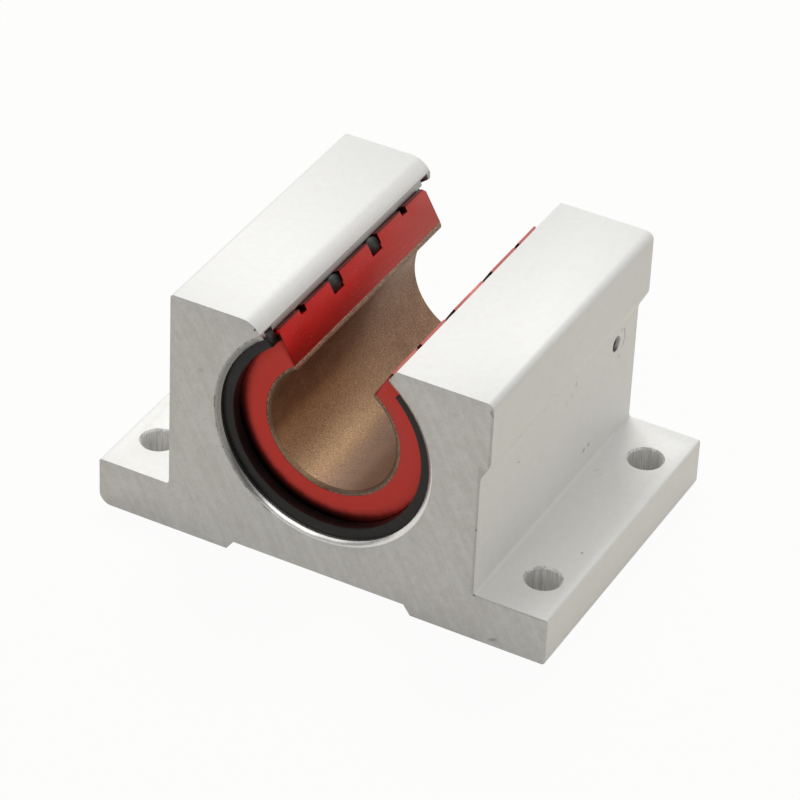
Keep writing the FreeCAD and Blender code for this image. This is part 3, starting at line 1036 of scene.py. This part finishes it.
@dataclass
class Bearing:
    """The split bearing: a red shell, its liner and two seal rings.

    Lengths are in mm and the opening's angle is in degrees.
    """

    edge: float = 0.10
    liner_edge: float = 0.06
    groove_floor: float = 13.635
    bore: float = 9.525
    opening: float = 11.35
    opening_angle: float = 60.0
    recess: float = 0.25
    roundness: float = 0.98
    corner_steps: int = 9
    sections: int = 181

    def wall_angle(self, radius: np.ndarray) -> np.ndarray:
        """Angle from upright at which a radius meets the seal's cut end.

        The opening's wall is a plane.  It passes the liner's bore at half
        the opening's width and leans out by half the opening's angle.  Its
        distance from the axis, with the recess added, and the radius give
        the angle as an arc sine.

        Args:
            radius: distances from the shaft's axis.

        Returns:
            The angles in radians.
        """
        lean = math.radians(self.opening_angle / 2)
        half = self.opening / 2
        height = math.sqrt(self.bore ** 2 - half ** 2)
        away = half * math.cos(lean) - height * math.sin(lean) + self.recess
        return lean + np.arcsin(away / radius)

    def build(self) -> list[bpy.types.Object]:
        """Dress the shell and the liner, and make both seal rings."""
        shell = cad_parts["bearing_shell"]
        break_edges(shell, self.edge)
        dress(shell, RedShell().make())
        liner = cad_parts["bearing_liner"]
        break_edges(liner, self.liner_edge)
        dress(liner, BronzeLiner().make())
        rubber = BlackMoulding("black_rubber").make()
        return [shell, liner] + [self.seal(end, rubber) for end in End]

    def seal(self, end: End, rubber: bpy.types.Material) -> bpy.types.Object:
        """A seal ring of round section, pressed to an oval by its seat.

        Its section is carried round the axis, and every point of it goes
        from one wall of the opening to the other.

        Args:
            end: which of the two rings.
            rubber: its finish.

        Returns:
            The ring, standing for its solid.
        """
        node = f"{end.value}_seal_ring"
        seat = Seat.of(node)
        half_high = (seat.outer - self.groove_floor) / 2
        middle = (seat.outer + self.groove_floor) / 2
        profile = rounded_box(seat.half_wide, half_high,
                              half_high * self.roundness, self.corner_steps)
        start = self.wall_angle(middle + profile[:, 1])
        share = np.linspace(0, 1, self.sections)[:, None]
        angles = start + share * (2 * math.pi - 2 * start)
        made = surface(f"{node}_look",
                       ring(profile, middle, seat.along, angles), True)
        dress(made, rubber)
        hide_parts(node)
        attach(made, BODY)
        return made


@dataclass
class Retainers:
    """The two black rings that hold the bearing between them.

    Lengths are in mm.  The gap's width and how far each gap is turned from
    upright, towards +X, are in degrees.
    """

    radius: float = 0.17
    height: float = 2.35
    gap: float = 81.0
    turns: dict[End, float] = field(
        default_factory=lambda: {End.FRONT: 4.0, End.REAR: -4.5})
    sections: int = 241

    def build(self) -> list[bpy.types.Object]:
        """Make both rings."""
        black = BlackMoulding("black_retaining_ring", black=linear("121110"),
                              grey=linear("1C1A18"), rough=0.32, gloss=0.30).make()
        return [self.one(end, black) for end in End]

    def one(self, end: End, black: bpy.types.Material) -> bpy.types.Object:
        """A ring of rounded rectangular section with square-cut ends.

        Args:
            end: which of the two rings.
            black: its finish.

        Returns:
            The ring, standing for its solid.
        """
        node = f"{end.value}_retaining_ring"
        seat = Seat.of(node)
        profile = rounded_box(seat.half_wide, self.height / 2, self.radius)
        start = self.turns[end] + self.gap / 2
        angles = np.radians(np.linspace(start, start + 360 - self.gap,
                                        self.sections))[:, None]
        middle = seat.outer - self.height / 2
        made = surface(f"{node}_look",
                       ring(profile, middle, seat.along, angles), True)
        dress(made, black)
        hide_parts(node)
        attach(made, BODY)
        return made


@dataclass
class SetScrew:
    """The small screw in the banded side."""

    edge: float = 0.05

    def build(self) -> list[bpy.types.Object]:
        """Dress the screw."""
        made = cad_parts["set_screw"]
        break_edges(made, self.edge)
        dress(made, DarkSteel().make())
        return [made]


# ------------------------------------------------------------------ studio

@dataclass(frozen=True)
class View:
    """The camera: where it looks, from which side, how far and how long.

    Lengths are in mm and angles in degrees.
    """

    target: tuple[float, float, float] = (-4.03, 6.53, 10.46)
    azimuth: float = 26.831
    elevation: float = 35.621
    roll: float = -2.755
    distance: float = 588.0
    lens: float = 187.65
    sensor: float = 36.0
    near: float = 10.0
    far: float = 20000.0

    def build(self) -> None:
        """Make the camera and set it as the scene's.

        Its back axis points from the target at the azimuth and elevation,
        its right and up axes are level and square to that, and both are
        then rolled about the back axis.
        """
        side, rise = math.radians(self.azimuth), math.radians(self.elevation)
        back = Vector((math.sin(side) * math.cos(rise),
                       -math.cos(side) * math.cos(rise), math.sin(rise)))
        right = Vector((math.cos(side), math.sin(side), 0.0))
        up = back.cross(right)
        lean = Matrix.Rotation(math.radians(-self.roll), 3, back)
        right, up = lean @ right, lean @ up
        place = (Vector(self.target) + back * self.distance) * MM
        data = bpy.data.cameras.new("view")
        data.lens, data.sensor_width = self.lens, self.sensor
        data.clip_start, data.clip_end = self.near * MM, self.far * MM
        made = bpy.data.objects.new("view", data)
        made.matrix_world = Matrix((
            (right.x, up.x, back.x, place.x), (right.y, up.y, back.y, place.y),
            (right.z, up.z, back.z, place.z), (0, 0, 0, 1)))
        bpy.context.scene.collection.objects.link(made)
        bpy.context.scene.camera = made


@dataclass(frozen=True)
class Lamp:
    """One soft rectangular lamp that looks at the block, in m and W."""

    name: str
    place: tuple[float, float, float]
    size: tuple[float, float]
    power: float
    aim: tuple[float, float, float] = (0.0, 0.0, 0.02)

    def build(self) -> None:
        """Make the lamp, turned to the block's middle."""
        data = bpy.data.lights.new(self.name, "AREA")
        data.shape = "RECTANGLE"
        data.size, data.size_y = self.size
        data.energy = self.power
        made = bpy.data.objects.new(self.name, data)
        made.location = self.place
        gaze = Vector(self.aim) - Vector(self.place)
        made.rotation_euler = gaze.to_track_quat("-Z", "Y").to_euler()
        bpy.context.scene.collection.objects.link(made)


@dataclass(frozen=True)
class Studio:
    """A pale floor under a white surround, and soft lamps.

    The floor is half its side in m and how far it lies below the block in
    mm.  The surround's levels are shares of white, and its steps are in the
    direction of a ray: front to rear for the turn, and up for the rise.
    """

    floor_half: float = 3.0
    floor_drop: float = 0.02
    floor_tone: Colour = (0.88, 0.83, 0.71, 1.0)
    floor_rough: float = 0.9
    floor_gloss: float = 0.1
    floor_glow: float = 0.95
    floor_sheen: float = 0.58
    around: float = 0.40
    horizon_front: float = 0.22
    horizon_rear: float = 0.90
    turn: Step = (-0.2, 0.5)
    rise: Step = (0.22, 0.44)
    lamps: tuple[Lamp, ...] = (
        Lamp("key", (-0.245, 0.35, 0.775), (0.38, 0.38), 3.00),
        Lamp("fill", (-0.15, -0.90, 0.42), (0.52, 0.28), 0.56),
    )

    def build(self) -> None:
        """Make the floor, the surround and the lamps."""
        self.floor()
        self.surround()
        for lamp in self.lamps:
            lamp.build()
        bpy.context.scene.view_settings.view_transform = "Standard"

    def floor(self) -> None:
        """A flat floor that keeps the shadow.

        The camera meets it nearly white, and glossy rays meet it partly
        white.
        """
        half, low = self.floor_half / MM, -self.floor_drop
        made = surface("floor", np.array([[(-half, -half, low), (half, -half, low)],
                                          [(-half, half, low), (half, half, low)]]))
        material = bpy.data.materials.new("pale_floor")
        material.use_nodes = True
        graph = Graph(material.node_tree)
        shader = graph.tree.nodes["Principled BSDF"]
        graph.put(shader.inputs["Base Color"], self.floor_tone)
        graph.put(shader.inputs["Roughness"], self.floor_rough)
        graph.put(shader.inputs["Specular IOR Level"], self.floor_gloss)
        glow = graph.node("ShaderNodeEmission", {}, {"Color": WHITE, "Strength": 1.0})
        share = (graph.ray("Is Camera Ray") * self.floor_glow
                 + graph.ray("Is Glossy Ray") * self.floor_sheen)
        mix = graph.node("ShaderNodeMixShader", {}, {
            "Fac": share, 1: shader.outputs[0], 2: glow.outputs[0]})
        graph.put(graph.tree.nodes["Material Output"].inputs["Surface"],
                  mix.outputs[0])
        dress(made, material)

    def surround(self) -> None:
        """White to the camera, dim near the horizon in reflections.

        A diffuse ray meets one even level.  A glossy ray meets a level that
        rises with its height, from the horizon's to white, and the horizon
        is dim in front of the block and bright behind it.
        """
        world = bpy.data.worlds.new("surround")
        world.use_nodes = True
        graph = Graph(world.node_tree)
        back = graph.tree.nodes["Background"]
        place = graph.node("ShaderNodeTexCoord", {}, {})
        depth, height = graph.split(place.outputs["Generated"])[1:]
        horizon = (self.horizon_front + depth.ramp(*self.turn)
                   * (self.horizon_rear - self.horizon_front))
        level = horizon + (1 - horizon) * height.ramp(*self.rise)
        strength = self.around + graph.ray("Is Glossy Ray") * (level - self.around)
        strength = strength + graph.ray("Is Camera Ray") * (1 - strength)
        graph.put(back.inputs["Color"], WHITE)
        graph.put(back.inputs["Strength"], strength)
        bpy.context.scene.world = world


def main() -> None:
    """Build the studio and every sub-assembly, and report each piece."""
    logging.basicConfig(level=logging.INFO, format="%(name)s: %(message)s")
    View().build()
    Studio().build()
    for assembly in (Housing(), Bearing(), Retainers(), SetScrew()):
        for piece in assembly.build():
            LOG.info("%s: %s, %d faces", type(assembly).__name__, piece.name,
                     len(piece.data.polygons))


if __name__ == "__main__":
    main()
